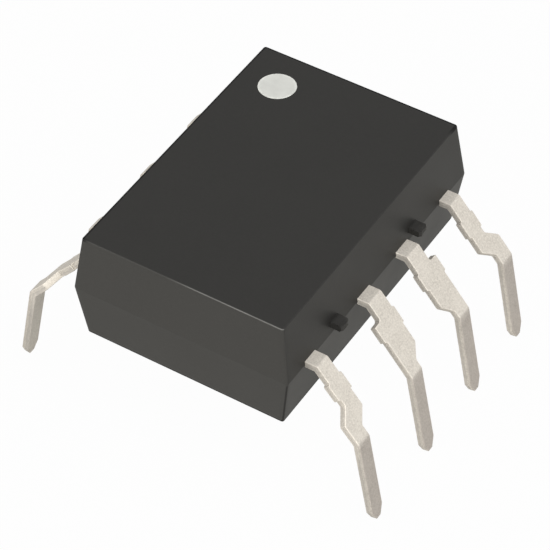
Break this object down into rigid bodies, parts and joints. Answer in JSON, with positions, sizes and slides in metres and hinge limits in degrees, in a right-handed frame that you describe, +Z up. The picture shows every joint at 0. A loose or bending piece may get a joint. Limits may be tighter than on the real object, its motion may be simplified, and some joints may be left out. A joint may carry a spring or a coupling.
{
  "type": "optocoupler",
  "caption": "Dark moulded dual in-line optocoupler with a pale index dot and wide-formed tinned leads that splay slightly outwards.",
  "frame": {"origin": "Under the middle of the case, in the plane of the lead tips.", "axes": "+X across the two rows of leads, from the row with the index dot to the other; +Y along the rows towards the end with the index dot; +Z up, out of the face with the dot."},
  "size_m": [0.0112, 0.009, 0.0061],
  "materials": {
    "case_resin": "satin moulded epoxy",
    "dot_ink": "matt marking ink",
    "guide_resin": "translucent white epoxy",
    "plated_lead": "satin tin plate on copper alloy",
    "emitter_die": "sawn semiconductor",
    "detector_die": "polished semiconductor",
    "die_paste": "silver-filled epoxy",
    "clear_gel": "clear silicone",
    "bond_wire": "drawn gold"
  },
  "bodies": {
    "root": {"outer_case": "case_resin", "index_dot": "dot_ink", "light_guide": "guide_resin", "lead_1": "plated_lead", "lead_2": "plated_lead", "lead_3": "plated_lead", "lead_4": "plated_lead", "lead_5": "plated_lead", "lead_6": "plated_lead", "lead_7": "plated_lead", "lead_8": "plated_lead", "emitter_chip": "emitter_die", "emitter_paste": "die_paste", "emitter_gel": "clear_gel", "emitter_wire": "bond_wire", "detector_chip": "detector_die", "detector_paste": "die_paste", "ground_wire": "bond_wire", "enable_wire": "bond_wire", "output_wire": "bond_wire", "supply_wire": "bond_wire"}
  },
  "joints": []
}
